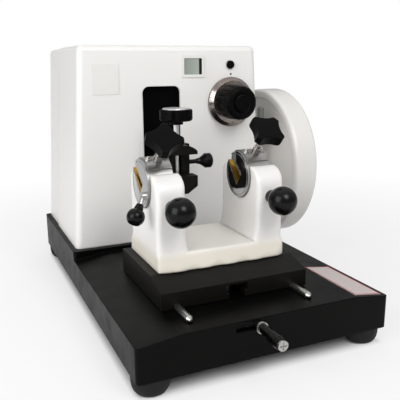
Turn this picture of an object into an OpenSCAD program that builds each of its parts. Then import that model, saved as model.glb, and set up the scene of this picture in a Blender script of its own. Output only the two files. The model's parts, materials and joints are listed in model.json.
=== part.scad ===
// Rotary microtome: cast base, moulded housing with a vertical specimen carriage, feed screw,
// handwheel and crank, thickness dial, and a sliding knife holder with two clamping drums.
// Lengths are millimetres. The base's front left corner on the bench is the working datum
// (X to the right, Y to the rear, Z up); in_frame() moves it so that the origin lies on the
// bench below the centre of the whole instrument's bounding box.

/* [Base casting] */
// Width of the base
base_w = 300; // [292:1:310]
// Depth of the base
base_d = 495; // [490:1:510]
// Height of a rubber foot below the casting
foot_h = 20; // [16:1:24]
// Height of the outer wall of the casting
wall_h = 38; // [36:1:44]
// Rise from the outer edge of a wing to the deck
deck_rise = 6.5; // [4:0.5:9]
// Width of a sloping wing
wing_w = 46; // [40:1:50]
// Thickness of the deck over the lever
deck_t = 4; // [3:0.5:5]
// Thickness of the outer walls
base_wall = 8; // [6:1:10]
// Thickness of the ribs under the deck
rib_t = 6; // [4:1:8]
// Rise of the housing plinth above the deck
plinth_rise = 6; // [4:1:9]
// Front of the plinth
plinth_y = 270; // [266:1:272]
// Largest radius of a foot
foot_r = 20; // [17:0.5:22]

/* [Knife holder guide] */
// Centre line of the knife holder, clamp and housing slot
guide_x = 134.5; // [132:0.5:137]
// Diameter of a guide rod
rod_d = 8; // [7:0.5:9]
// Distance between the guide rods
rod_gap = 142; // [136:1:148]
// Front end of the guide rods
rod_start = 17; // [14:1:20]
// Width of the slide block
block_w = 178; // [172:1:184]
// Depth of the slide block
block_d = 137; // [132:1:140]
// Front of the slide block
block_y = 53; // [50:1:56]
// Height of the slide block
block_h = 28; // [26:1:32]
// Height of the slide block at its front edge
block_nose_h = 19; // [18:1:22]
// Length of the slope at the front of the slide block
block_ramp = 34; // [28:1:40]
// Width of the T-slot
tslot_w = 25.4; // [24:0.2:28]
// Width of the neck of the T-slot
tneck_w = 19.4; // [18:0.2:21]

/* [Knife holder casting] */
// Width of the casting over its apron
cast_w = 158; // [154:1:162]
// Depth of the casting
cast_d = 102; // [98:1:106]
// Height of the apron
apron_h = 20; // [18:1:23]
// How far the front of the apron slopes back over its height
apron_bevel = 4; // [3:0.5:5]
// Width of a pillar
pillar_w = 34; // [33:0.5:36]
// Radius of the pillar's shoulders
shoulder_r = 22; // [20:0.5:24]
// Radius of a knife drum
drum_r = 27.8; // [26.8:0.1:28.6]
// Height of the drum axis above the slide block
drum_h = 92.1; // [90:0.1:96]
// Length of a knife drum
drum_len = 30.5; // [28:0.5:32]
// Angle by which the knife slot leans to the rear
slot_lean = 53; // [48:1:58]
// Clear width of the knife slot
knife_gap = 6.5; // [6:0.1:7]
// Thickness of the pressure plate in the slot
press_t = 4; // [3:0.2:5]
// Radius of a ball knob
ball_r = 16.4; // [15:0.2:18]
// Radius of the four-lobed knobs over their lobes
star_r = 21; // [19:0.5:23]
// Angle by which the knife clamping studs lean to the front
stud_lean = 43; // [40:1:46]

/* [Housing] */
// Width of the housing at its foot
house_w = 290; // [286:1:292]
// Front face of the housing
house_y = 279; // [277:1:281]
// Depth of the housing
house_d = 213; // [210:1:214]
// Height of the housing
house_h = 270; // [266:1:280]
// Draft of each side of the housing over its height
draft = 16; // [12:1:18]
// Thickness of the housing shells
shell_t = 4; // [3:0.5:5]
// Depth of the front shell
front_d = 121; // [117:1:125]
// Width of the specimen slot
slot_w = 55; // [52:1:58]
// Top of the specimen slot above the plinth
slot_top = 216; // [212:1:220]
// Bottom of the specimen slot above the plinth
slot_low = 48; // [44:1:52]

/* [Drive] */
// Radius of the handwheel
wheel_r = 113.5; // [108:0.5:115]
// Width of the handwheel's rim
wheel_w = 36.3; // [32:0.1:40]
// Radius of the crank
crank_r = 30; // [28:0.5:31]
// Height of the crankshaft above the plinth
shaft_h = 92.9; // [90:0.1:96]
// Radius of the crankshaft
shaft_r = 10; // [8:0.5:11]
// Height of the specimen axis above the plinth
ram_h = 118.5; // [116:0.5:121]
// Radius of the feed ram
ram_r = 18; // [16:0.5:19]
// Radius of the guide columns
column_r = 9; // [8:0.5:9.5]
// Distance between the guide columns
column_gap = 60; // [59:1:64]
// Radius of the feed screw
screw_r = 5; // [4:0.5:6]
// Teeth of the feed ratchet
ratchet_teeth = 60; // [48:2:72]
// Radius of the graduated dial ring
dial_r = 35; // [32:0.5:37]

/* [Hidden] */
$fn = 64;

// Clearances
run = 0.05;        // radial, a shaft turning in its bore
seat = 0.02;       // radial, a pressed or bolted piece in its seat
rest = 0.3;        // between pieces that pass or lie on each other
eps = 1;           // how far a cutting body passes the face it cuts

// Levels
bottom_z = foot_h;
edge_z = bottom_z + wall_h;
deck_z = edge_z + deck_rise;
plinth_z = deck_z + plinth_rise;

// Knife holder guide
rod_z = deck_z + rod_d / 2 - 1;
rod_end = 235;
block_z = deck_z + 1;
block_top = block_z + block_h;
tneck_h = 7;
thead_h = 9;
cast_x = guide_x - cast_w / 2;
cast_y = block_y + 31;
bolt_y = block_y + 31;
bolt_r = 8;
lever_z = deck_z - deck_t - 4;
lever_turn = 2;
grip_len = 38;
lever_reach = 46;
lever_cap = 2.8;
lever_cap_r = 5.4;

// Pillars and drums
pillar_in = 0.5;
face_y = cast_y + apron_bevel + 1;
back_y = cast_y + cast_d - 3;
drum_y = cast_y + cast_d / 2 + 1;
drum_z = block_top + drum_h;
proud = 2.5;
left_x = cast_x + pillar_in;
right_x = cast_x + cast_w - pillar_in - pillar_w;
shoulder_z = drum_z + 13.4 - shoulder_r;
stud_r = 3.5;
stud_at = proud + 14.5;
stud_out = 9;
star_left_at = 55;
star_right_at = 60.5;
star_t = 12.5;
saddle_seat = drum_r + 1.8;
ball_drop = 19.5;
ball_y = face_y - 25.8;
plate_w0 = knife_gap - 2;
slot_deep = 7;

// Housing
house_x = base_w / 2 + 1;
top_z = plinth_z + house_h;
corner_r = 8;
cover_in = 1.5;
cover_band = 11;
slot_r = 9;
slope = draft / house_h;
display_x = house_x + 30.5;
display_z = top_z - 28;
display_w = 29;
display_h = 24;
button_x = house_x + 88;
button_z = top_z - 26;
dial_x = house_x + 88.2;
dial_z = top_z - 78;
badge_x = house_x - 94.5;
cover_screw_h = [30, house_h / 2 - 5, house_h - 55];
badge_z = top_z - 43.5;

// Specimen head
ram_z = plinth_z + ram_h;
pin_y = house_y - 29;
ram_front = pin_y + 16;
ram_rear = ram_front + 112;
fork_r = 9;
pin_r = 4;
half_block = 12.4;
ear_in = 13;
ear_out = 18.5;
clamp_back = pin_y - 15;
clamp_y = clamp_back - 12;
jaw_y = clamp_back - 30;
jaw_half = 20.5;
jaw_top = ram_z - 15;
jaw_low = ram_z - 38.4;
anvil_z = ram_z + 13;
anvil_top = ram_z + 24.7;
body_half = 16.5;
groove = 10;
cscrew_y = clamp_back - 7.5;
cscrew_r = 3.5;
lock_knob_z = ram_z - 0.5;
star_z = ram_z + 55;
star_h = 15;

// Carriage and frame
column_y = house_y + 66;
carriage_half = column_gap / 2 + 16.5;
carriage_d = 54;
carriage_h = 70;
carriage_y = column_y - carriage_d / 2;
frame_t = 8.5;
frame_y = house_y + 24;
frame_back = house_y + 163;
bridge_z = top_z - 32;
shaft_y = house_y + 46.6;
shaft_z = plinth_z + shaft_h;
yoke_x = guide_x + carriage_half;
yoke_t = 6;
disc_x = yoke_x + yoke_t + 8;
disc_t = 10;
crank_pin_r = 6;
bearing_a = disc_x + 16;
bearing_b = bearing_a + 52;
bearing_t = 15;
bush_r = 15;
wheel_x = max(bearing_b + bearing_t + 35.5, house_x + house_w / 2 + 17.5);
hub_x = wheel_x - 17;
hub_r = 24;
wheel_end = wheel_x + wheel_w;
handle_r = wheel_r - 31.5;
grip_x = wheel_end + 4;
handle_len = 70;
shield_y = house_y + 8;
bracket_y = ram_rear + 20;
ratchet_y = bracket_y + 10;
lock_y = house_y + 7;
lock_z = plinth_z + 140;

// Overall box and origin
reach_x = grip_x + handle_len;
front_reach = (bolt_y + lever_reach + lever_cap) * cos(lever_turn) + lever_cap_r * sin(lever_turn) - bolt_y;
x_mid = reach_x / 2;
y_mid = (base_d - front_reach) / 2;

// Colours
black_paint = "#151515";
white_paint = "#e9e8e6";
steel = "#b9bbbd";
black_plastic = "#1b1b1c";

// Moves the datum corner so that the origin is below the centre of the bounding box
module in_frame() translate([-x_mid, -y_mid, 0]) children();

// Cylinders along X and along Y, from the given point
module rod_x(r, len) rotate([0, 90, 0]) cylinder(r = r, h = len);
module rod_y(r, len) rotate([-90, 0, 0]) cylinder(r = r, h = len);

// Rectangle with round corners, centred
module rounded(w, d, r) {
  for (sx = [-1, 1], sy = [-1, 1]) translate([sx * (w / 2 - r), sy * (d / 2 - r)]) circle(r);
  square([w - 2 * r, d], center = true);
  square([w, d - 2 * r], center = true);
}

// Lobed knob about +Z with round scallops between its lobes; its bottom is at z = 0
module star(r, h, points, dish_r, dish_at, bore, depth) {
  difference() {
    union() {
      rotate_extrude() polygon([
        [0, 0], [r - 3, 0], [r - 0.9, 1], [r, 3], [r, h - 1.6], [r - 0.5, h - 0.7], [r - 1.4, h - 0.2], [r * 0.6, h], [0, h]
      ]);
      translate([0, 0, -h * 0.3]) cylinder(r = r * 0.42, h = h * 0.3 + 0.01);
    }
    for (i = [0:points - 1]) rotate([0, 0, (i + 0.5) * 360 / points])
      translate([dish_at, 0, -eps]) cylinder(r = dish_r, h = h + 2 * eps);
    translate([0, 0, -h]) cylinder(r = bore, h = h + depth);
  }
}

// ---- base ----

// Cross-section of the base in X and Z: vertical outer walls, sloping wings and flat deck
module base_section(inset, low, roof) {
  polygon([
    [inset, low], [inset, edge_z - roof], [wing_w, deck_z - roof],
    [base_w - wing_w, deck_z - roof], [base_w - inset, edge_z - roof], [base_w - inset, low]
  ]);
}

// Extrudes a section drawn in X and Z from y0 to y1
module along_y(y0, y1) translate([0, y1, 0]) rotate([90, 0, 0]) linear_extrude(y1 - y0) children();

// Extrudes a section drawn in Y and Z from x0 to x1
module along_x(x0, x1) translate([x0, 0, 0]) rotate([90, 0, 90]) linear_extrude(x1 - x0) children();

// Feet are centred this far inside the outline
foot_in = 20.5;
module at_feet()
  for (x = [foot_in, base_w - foot_in], y = [foot_in, base_d - foot_in])
    translate([x, y, 0]) children();

// Bays under the deck, between the outer walls and the ribs
bay_x = [base_wall, base_w / 2 - 62, base_w / 2 + 62, base_w - base_wall];
bay_y = [base_wall, plinth_y - 92, plinth_y + 18, base_d - base_wall];

module base_casting() {
  color(black_paint) in_frame() difference() {
    union() {
      intersection() {
        along_y(0, base_d) base_section(0, bottom_z, 0);
        translate([base_w / 2, base_d / 2, 0]) linear_extrude(top_z) rounded(base_w, base_d, 5);
      }
      translate([base_w / 2, (plinth_y + base_d) / 2, bottom_z + base_wall])
        linear_extrude(plinth_z - bottom_z - base_wall)
          rounded(base_w, base_d - plinth_y, 5);
    }
    // bays below the deck; the two outer columns of bays slope with the wings
    for (i = [0:2], j = [0:2]) intersection() {
      along_y(bay_y[j] + (j > 0 ? rib_t / 2 : 0), bay_y[j + 1] - (j < 2 ? rib_t / 2 : 0))
        base_section(base_wall, bottom_z - eps, deck_t);
      translate([bay_x[i] + (i > 0 ? rib_t / 2 : 0), 0, 0])
        cube([bay_x[i + 1] - bay_x[i] - (i > 0 ? rib_t / 2 : 0) - (i < 2 ? rib_t / 2 : 0), base_d, deck_z]);
      difference() {
        cube([base_w, base_d, deck_z]);
        at_feet() cylinder(r = foot_r + 1, h = deck_z);
      }
    }
    // lever slot in the front wall
    translate([guide_x - 29, -eps, lever_z - 4]) cube([33, base_wall + 2 * eps, 8]);
    // hole of the clamping bolt, and the grooves that seat the rods
    translate([guide_x, bolt_y, deck_z - deck_t - eps]) cylinder(r = bolt_r + rest, h = deck_t + 2 * eps);
    for (s = [-1, 1]) translate([guide_x + s * rod_gap / 2, rod_start, rod_z])
      rod_y(rod_d / 2 + seat, rod_end - rod_start);
    // sockets of the feet
    at_feet() translate([0, 0, bottom_z - eps]) cylinder(r = 4 + seat, h = eps + 12);
  }
}

module rubber_feet() {
  color("#101010") in_frame() at_feet() {
    rotate_extrude() polygon(concat(
      [[0, 0]],
      [for (a = [0:15:90]) [foot_r * (0.45 + 0.55 * sin(a)), bottom_z * 0.8 * (1 - cos(a))]],
      [[foot_r, bottom_z], [0, bottom_z]]
    ));
    translate([0, 0, bottom_z - 0.01]) cylinder(r = 4, h = 11);
  }
}

module guide_rods() {
  color(steel) in_frame() for (s = [-1, 1]) translate([guide_x + s * rod_gap / 2, 0, rod_z]) {
    translate([0, rod_start + 4, 0]) rod_y(rod_d / 2, rod_end - rod_start - 4);
    translate([0, rod_start + 4.01, 0]) rotate([90, 0, 0])
      cylinder(r1 = rod_d / 2, r2 = 1.4, h = 4.01);
  }
}

module t_bolt() {
  head_z = block_z + tneck_h + rest;
  nut_top = lever_z - 4 - rest;
  color(steel) in_frame() translate([guide_x, bolt_y, 0]) {
    translate([-tslot_w / 2 + rest, -tslot_w / 2, head_z])
      cube([tslot_w - 2 * rest, tslot_w, thead_h - 2 * rest]);
    translate([0, 0, nut_top - 7]) cylinder(r = bolt_r, h = head_z - nut_top + 7);
    translate([0, 0, nut_top - 7]) cylinder(r = 13, h = 7, $fn = 6);
  }
}

// Blank card on the right wing
module blank_card() {
  wing_fall = atan(deck_rise / wing_w);
  color("#f4f2f0") in_frame() translate([base_w - wing_w, 0, deck_z]) rotate([0, wing_fall, 0])
    translate([4, 6, 0]) cube([wing_w - 10, 98, 0.6]);
}

// ---- housing ----

// Half width of the housing at a height above the plinth
function half_at(h) = house_w / 2 - slope * h;

// Drafted block with round upright corners and a round top edge, grown by g on all sides
module housing_form(g) {
  r = corner_r + g;
  hull() {
    for (s = [-1, 1], y = [house_y - g + r, house_y + house_d + g - r]) {
      translate([house_x + s * (half_at(0) + g - r), y, plinth_z]) cylinder(r = r, h = 0.1, $fn = 32);
      translate([house_x + s * (half_at(house_h) + g - r), y, top_z + g - r]) sphere(r = r, $fn = 32);
    }
  }
}

module housing_skin() {
  difference() {
    housing_form(0);
    housing_form(-shell_t);
    translate([0, 0, plinth_z - eps]) cube([base_w, base_d, eps]);
  }
}

// Right face of the housing at a height above the plinth
function right_at(h) = house_x + half_at(h);

module front_shell() {
  color(white_paint) in_frame() difference() {
    union() {
      intersection() {
        housing_skin();
        cube([base_w, house_y + front_d, top_z + eps]);
      }
      // boss of the wheel lock
      translate([right_at(lock_z - plinth_z) - shell_t, lock_y + 5, lock_z])
        rod_x(9, shell_t + 6);
    }
    // specimen slot
    translate([guide_x, house_y - eps, plinth_z + (slot_low + slot_top) / 2]) rotate([-90, 0, 0])
      linear_extrude(shell_t + 2 * eps) rounded(slot_w, slot_top - slot_low, slot_r);
    // display, button and dial
    translate([display_x, house_y, display_z]) cube([display_w, 2 * shell_t + 2 * eps, display_h], center = true);
    translate([button_x, house_y - eps, button_z]) rod_y(5.6 + run, shell_t + 2 * eps);
    translate([dial_x, house_y - eps, dial_z]) rod_y(5 + run, shell_t + 2 * eps);
    // crankshaft and the pivot of the wheel lock
    translate([guide_x, shaft_y, shaft_z]) rod_x(shaft_r + 1, base_w);
    translate([right_at(lock_z - plinth_z) - 12, lock_y + 5, lock_z]) rod_x(4 + run, 40);
  }
}

// Rear cover: a band level with the front shell along the seam, and the rest set in
module rear_cover() {
  seam_y = house_y + front_d + rest;
  color(white_paint) in_frame() difference() {
    union() {
      intersection() {
        housing_form(0);
        translate([0, seam_y, 0]) cube([base_w, cover_band, top_z + eps]);
      }
      intersection() {
        housing_form(-cover_in);
        translate([0, seam_y, 0]) cube([base_w, base_d, top_z + eps]);
      }
    }
    housing_form(-cover_in - shell_t);
    translate([0, 0, plinth_z - eps]) cube([base_w, base_d, eps]);
    for (s = [-1, 1], h = cover_screw_h)
      translate([house_x + s * (half_at(h) - 28), house_y + house_d - 20, plinth_z + h]) rod_y(2.5 + seat, 40);
  }
}

// Screws that hold the rear cover
module cover_screws() {
  back = house_y + house_d - cover_in;
  color(steel) in_frame() for (s = [-1, 1], h = cover_screw_h)
    translate([house_x + s * (half_at(h) - 28), back, plinth_z + h]) {
      translate([0, -shell_t - 6, 0]) rod_y(2.5, shell_t + 6.01);
      difference() {
        rod_y(4.5, 2.6);
        translate([0, 1.4, 0]) rod_y(2.4, 3, $fn = 6);
      }
    }
}

module display_frame() {
  color("#d9dad2") in_frame() translate([display_x, house_y, display_z]) difference() {
    translate([0, -1.2, 0]) rotate([-90, 0, 0]) linear_extrude(1.2) rounded(display_w + 6, display_h + 6, 2);
    translate([0, -3, 0]) rotate([-90, 0, 0]) linear_extrude(6) rounded(display_w - 2, display_h - 2, 1);
  }
}

module display_window() {
  color("#8d9789") in_frame() translate([display_x, house_y + 1.3, display_z])
    cube([display_w - 2 * seat, 2.6 - 2 * seat, display_h - 2 * seat], center = true);
}

// Circuit board behind the display and the button, on four posts
module control_board() {
  x0 = display_x - display_w / 2;
  x1 = button_x + 12;
  z0 = display_z - 19;
  board_y = house_y + shell_t + 7;
  color("#2f5d3a") in_frame() {
    translate([x0, board_y, z0]) cube([x1 - x0, 1.6, 38]);
    translate([display_x - display_w / 2, house_y + 2.7, display_z - display_h / 2 + 0.5])
      cube([display_w - 1, board_y - house_y - 2.69, display_h - 1]);
    translate([button_x, house_y + 7.6, button_z]) rod_y(3, board_y - house_y - 7.59);
    for (x = [x0 + 4, x1 - 4], z = [z0 + 3, z0 + 35])
      translate([x, house_y + shell_t, z]) rod_y(2.2, board_y - house_y - shell_t + 0.01);
  }
}

module blank_badge() {
  color("#f5f5f4") in_frame() translate([badge_x, house_y - 0.6, badge_z]) rotate([-90, 0, 0])
    linear_extrude(0.6) rounded(36.5, 39.5, 1.5);
}

// ---- fixed inner frame ----

// Cast frame: floor, rear wall and bridge for the columns, bearing pedestals and dial bracket
module machine_frame() {
  color("#3a3d40") in_frame() difference() {
    union() {
      translate([guide_x - carriage_half, frame_y, plinth_z])
        cube([bearing_b + bearing_t + 4 - guide_x + carriage_half, frame_back + 14 - frame_y, frame_t]);
      translate([guide_x - 40, frame_back, plinth_z]) cube([80, 14, bridge_z + 12 - plinth_z]);
      translate([guide_x - column_gap / 2 - 15, column_y - 15, bridge_z])
        cube([column_gap + 30, frame_back + 14 - column_y + 15, 12]);
      // gussets of the bridge
      for (s = [-1, 1]) translate([guide_x + s * 34 - 3, 0, 0]) along_x(0, 6)
        polygon([[frame_back + 0.01, bridge_z - 40], [frame_back + 0.01, bridge_z + 0.01], [frame_back - 40, bridge_z + 0.01]]);
      for (x = [bearing_a, bearing_b]) along_x(x, x + bearing_t) {
        translate([shaft_y, shaft_z]) circle(bush_r + 8);
        polygon([
          [shaft_y - 23, shaft_z], [shaft_y + 23, shaft_z],
          [shaft_y + 27, plinth_z], [max(shaft_y - 27, frame_y), plinth_z]
        ]);
      }
      along_y(house_y + 109, house_y + 119) {
        translate([dial_x, dial_z]) circle(11);
        polygon([[dial_x - 11, dial_z], [dial_x + 11, dial_z], [dial_x + 16, plinth_z], [dial_x - 16, plinth_z]]);
      }
    }
    for (s = [-1, 1]) translate([guide_x + s * column_gap / 2, column_y, plinth_z - eps])
      cylinder(r = column_r + seat, h = top_z);
    for (x = [bearing_a, bearing_b])
      translate([x - eps, shaft_y, shaft_z]) rod_x(bush_r + seat, bearing_t + 2 * eps);
    translate([dial_x, house_y + 100, dial_z]) rod_y(5 + run, 30);
  }
}

module guide_columns() {
  color(steel) in_frame() for (s = [-1, 1])
    translate([guide_x + s * column_gap / 2, column_y, plinth_z + 0.5])
      cylinder(r = column_r, h = bridge_z + 12 - plinth_z - 0.5);
}

module shaft_bushes() {
  color("#b08d4a") in_frame() for (x = [bearing_a, bearing_b]) translate([x, shaft_y, shaft_z]) difference() {
    rod_x(bush_r, bearing_t);
    translate([-eps, 0, 0]) rod_x(shaft_r + run, bearing_t + 2 * eps);
  }
}

// ---- thickness dial and button ----

collar_r = 26;
knob_r = 18.5;
module at_dial(y) in_frame() translate([dial_x, y, dial_z]) children();

module dial_ring() {
  color(steel) at_dial(house_y - 9 - rest) rotate([-90, 0, 0]) difference() {
    union() {
      cylinder(r1 = dial_r - 5, r2 = dial_r, h = 5);
      translate([0, 0, 4.99]) cylinder(r = dial_r, h = 4.01);
    }
    translate([0, 0, -eps]) cylinder(r = 5 + seat, h = 12);
  }
}

module dial_knob() {
  ribs = 24;
  ring_y = house_y - 9 - rest;
  color(black_plastic) at_dial(ring_y) rotate([90, 0, 0]) difference() {
    union() {
      cylinder(r = collar_r, h = 15);
      translate([0, 0, 14.99]) cylinder(r1 = collar_r - 2, r2 = knob_r + 2, h = 2);
      translate([0, 0, 16.98]) cylinder(r = knob_r + 1.5, h = 13);
    }
    for (i = [0:ribs - 1]) rotate([0, 0, i * 360 / ribs])
      translate([collar_r + 1.6, 0, 2]) cylinder(r = 2.6, h = 14);
    for (i = [0:ribs - 1]) rotate([0, 0, i * 360 / ribs])
      translate([knob_r + 3.1, 0, 17]) cylinder(r = 2.2, h = 16);
    translate([0, 0, -eps]) cylinder(r = 5 + seat, h = 14 + eps);
    translate([0, 0, 28.5]) cylinder(r = 12.2 + seat, h = 4);
  }
}

module dial_cap() {
  color("#222223") at_dial(house_y - 9 - rest - 28.5) rotate([90, 0, 0]) {
    cylinder(r = 12.2, h = 2.4);
    translate([0, 0, 2.39]) cylinder(r1 = 12.2, r2 = 10.5, h = 1);
  }
}

// Dial shaft with the snail cam that sets the feed
module dial_shaft() {
  cam_y = house_y + 120;
  color(steel) at_dial(0) {
    translate([0, house_y - 23, 0]) rod_y(5, cam_y + 12 - house_y + 23);
    translate([0, cam_y, 0]) rotate([90, 0, 0]) mirror([0, 0, 1]) linear_extrude(8)
      polygon([for (a = [0:10:350]) (13 + 10 * a / 350) * [cos(a), sin(a)]]);
  }
}

module push_button() {
  color(black_plastic) in_frame() translate([button_x, house_y, button_z]) {
    translate([0, -3.2, 0]) rod_y(5.6, 8.8);
    translate([0, -4, 0]) rotate([-90, 0, 0]) cylinder(r1 = 4.6, r2 = 5.6, h = 0.81);
  }
}

// ---- handwheel and crank ----

module at_shaft(x) in_frame() translate([x, shaft_y, shaft_z]) children();

module handwheel() {
  rim_round = 5;
  color(white_paint) at_shaft(wheel_x) rotate([0, 90, 0]) difference() {
    union() {
      rotate_extrude($fn = 128) difference() {
        union() {
          square([wheel_r - rim_round, wheel_w]);
          translate([0, rim_round]) square([wheel_r, wheel_w - 2 * rim_round]);
          translate([wheel_r - rim_round, rim_round]) circle(rim_round);
          translate([wheel_r - rim_round, wheel_w - rim_round]) circle(rim_round);
        }
        // dished far face
        translate([hub_r + 8, 15]) square([wheel_r - hub_r - 8 - 12, wheel_w]);
        translate([hub_r, 22]) square([12, wheel_w]);
        // shallow step in the near face
        translate([hub_r + 2, -eps]) square([wheel_r - hub_r - 14, 3 + eps]);
      }
      translate([0, 0, hub_x - wheel_x]) cylinder(r = hub_r, h = wheel_x - hub_x + 1);
    }
    translate([0, 0, hub_x - wheel_x - eps]) cylinder(r = shaft_r + seat, h = 2 * wheel_w + 20);
    // seat of the handle's stem
    rotate([0, 0, 90]) translate([handle_r, 0, -eps]) cylinder(r = 5 + seat, h = wheel_w);
  }
}

module wheel_nut() {
  color(steel) at_shaft(wheel_end) difference() {
    union() {
      rod_x(16, 2);
      translate([1.99, 0, 0]) rod_x(12.5, 7, $fn = 6);
      rotate([0, 90, 0]) cylinder(r = 12.5, h = 8, $fn = 6);
    }
    translate([-eps, 0, 0]) rod_x(shaft_r * 0.7 + seat, 14);
  }
}

module main_shaft() {
  color(steel) at_shaft(disc_x + disc_t) {
    rod_x(shaft_r, wheel_end - disc_x - disc_t);
    rod_x(shaft_r * 0.7, wheel_end + 10.5 - disc_x - disc_t);
    translate([bearing_b + bearing_t - disc_x - disc_t + rest, 0, 0]) rod_x(shaft_r + 4, 5);
  }
}

// Crank disc with its counterweight; the pin ends just short of the yoke
module crank_disc() {
  color("#55585b") at_shaft(disc_x) {
    difference() {
      rod_x(crank_r + crank_pin_r + 2, disc_t);
      for (a = [60, 120]) rotate([a, 0, 0]) translate([-eps, crank_r * 0.62, 0]) rod_x(6, disc_t + 2 * eps);
    }
    translate([0, -crank_r, 0]) translate([-8 + rest * 2, 0, 0]) rod_x(crank_pin_r, 8);
  }
}

// Handle stem with its end washer
module handle_stem() {
  color(steel) at_shaft(0) translate([wheel_x + 3 + rest, handle_r, 0]) {
    rod_x(5, reach_x - 2 - wheel_x - 3 - rest);
    translate([12 + rest, 0, 0]) rod_x(8.5, grip_x - wheel_x - 15 - 3 * rest);
  }
}

// Handle grip, turned to a waisted outline
module handle_grip() {
  color(black_plastic) at_shaft(grip_x) translate([0, handle_r, 0]) rotate([0, 90, 0]) difference() {
    rotate_extrude() polygon([
      [0, 0], [9, 0], [11.5, 8], [12.8, 24], [12.5, 44], [13.4, 58],
      [12, handle_len - 4], [8.5, handle_len], [0, handle_len]
    ]);
    translate([0, 0, -eps]) cylinder(r = 5 + run, h = handle_len - 1);
    translate([0, 0, handle_len - 2]) cylinder(r = 5 + run, h = 3);
  }
}

// Lever that stops the handwheel: hub, flat arm and round grip
module wheel_lock_lever() {
  face = right_at(lock_z - plinth_z) + 6 + rest;
  color("#7b7d7c") in_frame() translate([face, lock_y + 5, lock_z]) {
    translate([-6 - rest - shell_t - 5, 0, 0]) rod_x(4, 6 + rest + shell_t + 6);
    rod_x(9, 8);
    translate([4, 0, 8]) cylinder(r = 4, h = 18);
    translate([4, 0, 25]) cylinder(r = 5.2, h = 13);
    translate([4, 0, 38]) intersection() {
      sphere(r = 5.2);
      cylinder(r = 6, h = 6);
    }
  }
}

// ---- vertical carriage and feed ----

module carriage() {
  arm_in = 20;
  arm_t = 5;
  color("#4a4e52") in_frame() difference() {
    union() {
      translate([guide_x - carriage_half, carriage_y, ram_z - carriage_h / 2])
        cube([2 * carriage_half, carriage_d, carriage_h]);
      // bracket that carries the feed screw behind the ram
      for (s = [0, 1]) translate([guide_x - arm_in - arm_t + s * (2 * arm_in + arm_t), carriage_y + carriage_d - 0.01, ram_z - 8])
        cube([arm_t, bracket_y + 8 - carriage_y - carriage_d, 16]);
      translate([guide_x - arm_in - arm_t, bracket_y, ram_z - 20]) cube([2 * (arm_in + arm_t), 8, 40]);
    }
    for (s = [-1, 1]) translate([guide_x + s * column_gap / 2, column_y, ram_z - carriage_h])
      cylinder(r = column_r + run, h = 2 * carriage_h);
    translate([guide_x, carriage_y - eps, ram_z]) rod_y(ram_r + run, carriage_d + 2 * eps);
    translate([guide_x, bracket_y - eps, ram_z]) rod_y(screw_r + run, 8 + 2 * eps);
  }
}

// Slotted yoke that the crank pin works in
module yoke_plate() {
  half = crank_r + crank_pin_r + 0.8;
  slot_half = crank_pin_r + 0.5;
  color(steel) in_frame() along_x(yoke_x, yoke_x + yoke_t) difference() {
    union() {
      translate([shaft_y - half - 3, shaft_z - crank_pin_r - 8]) square([2 * half + 6, 2 * crank_pin_r + 16]);
      translate([carriage_y + 4, shaft_z - 2]) square([carriage_d - 8, ram_z + carriage_h / 2 - shaft_z - 2]);
    }
    for (s = [-1, 1]) translate([shaft_y + s * (half - slot_half), shaft_z]) circle(slot_half);
    translate([shaft_y, shaft_z]) square([2 * (half - slot_half), 2 * slot_half], center = true);
  }
}

// Black shield behind the specimen slot, carried on the front of the carriage
module dust_shield() {
  half = slot_w / 2 + 3;
  color("#0c0c0c") in_frame() difference() {
    union() {
      translate([guide_x - half, shield_y, ram_z - 85]) cube([2 * half, 2, 185]);
      for (x = [guide_x - half, guide_x + half - 2])
        translate([x, shield_y + 1.99, ram_z - 26]) cube([2, carriage_y - shield_y - 1.99, 52]);
    }
    translate([guide_x, shield_y - eps, ram_z]) rod_y(ram_r + rest, 4);
  }
}

// Feed ram with the fork of the specimen head
module ram() {
  color("#2b2d2f") in_frame() translate([guide_x, 0, ram_z]) difference() {
    union() {
      translate([0, ram_front, 0]) rod_y(ram_r, ram_rear - ram_front);
      for (s = [-1, 1]) translate([s > 0 ? ear_in : -ear_out, 0, 0]) {
        translate([0, pin_y, 0]) rod_x(fork_r, ear_out - ear_in);
        translate([0, pin_y, -fork_r]) cube([ear_out - ear_in, ram_front + 1 - pin_y, 2 * fork_r]);
      }
      translate([0, ram_front - 3, 0]) rod_y(ram_r + 0.5, 3.01);
    }
    translate([-ear_out - eps, pin_y, 0]) rod_x(pin_r + run, 2 * (ear_out + eps));
    translate([0, ram_front + 50, 0]) rod_y(screw_r + rest, ram_rear);
  }
}

module feed_screw() {
  color(steel) in_frame() translate([guide_x, 0, ram_z]) {
    translate([0, ram_front + 60, 0]) rod_y(screw_r, ratchet_y + 18 - ram_front - 60);
    translate([0, bracket_y - 4 - rest, 0]) rod_y(screw_r + 4, 4);
    translate([0, ratchet_y + 13 + rest, 0]) rod_y(screw_r + 2, 3);
  }
}

// Saw-toothed ratchet wheel
module ratchet_wheel() {
  step = 360 / ratchet_teeth;
  tip_r = 32;
  root_r = 29.8;
  color(steel) in_frame() translate([guide_x, ratchet_y, ram_z]) rotate([-90, 0, 0]) difference() {
    linear_extrude(6) polygon([for (i = [0:ratchet_teeth - 1], k = [0, 1])
      (k == 0 ? root_r : tip_r) * [cos((i + 0.12 * k) * step), sin((i + 0.12 * k) * step)]]);
    translate([0, 0, -eps]) cylinder(r = screw_r + seat, h = 8);
    for (a = [0:60:300]) rotate([0, 0, a]) translate([19, 0, -eps]) cylinder(r = 5, h = 8);
  }
}

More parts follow.
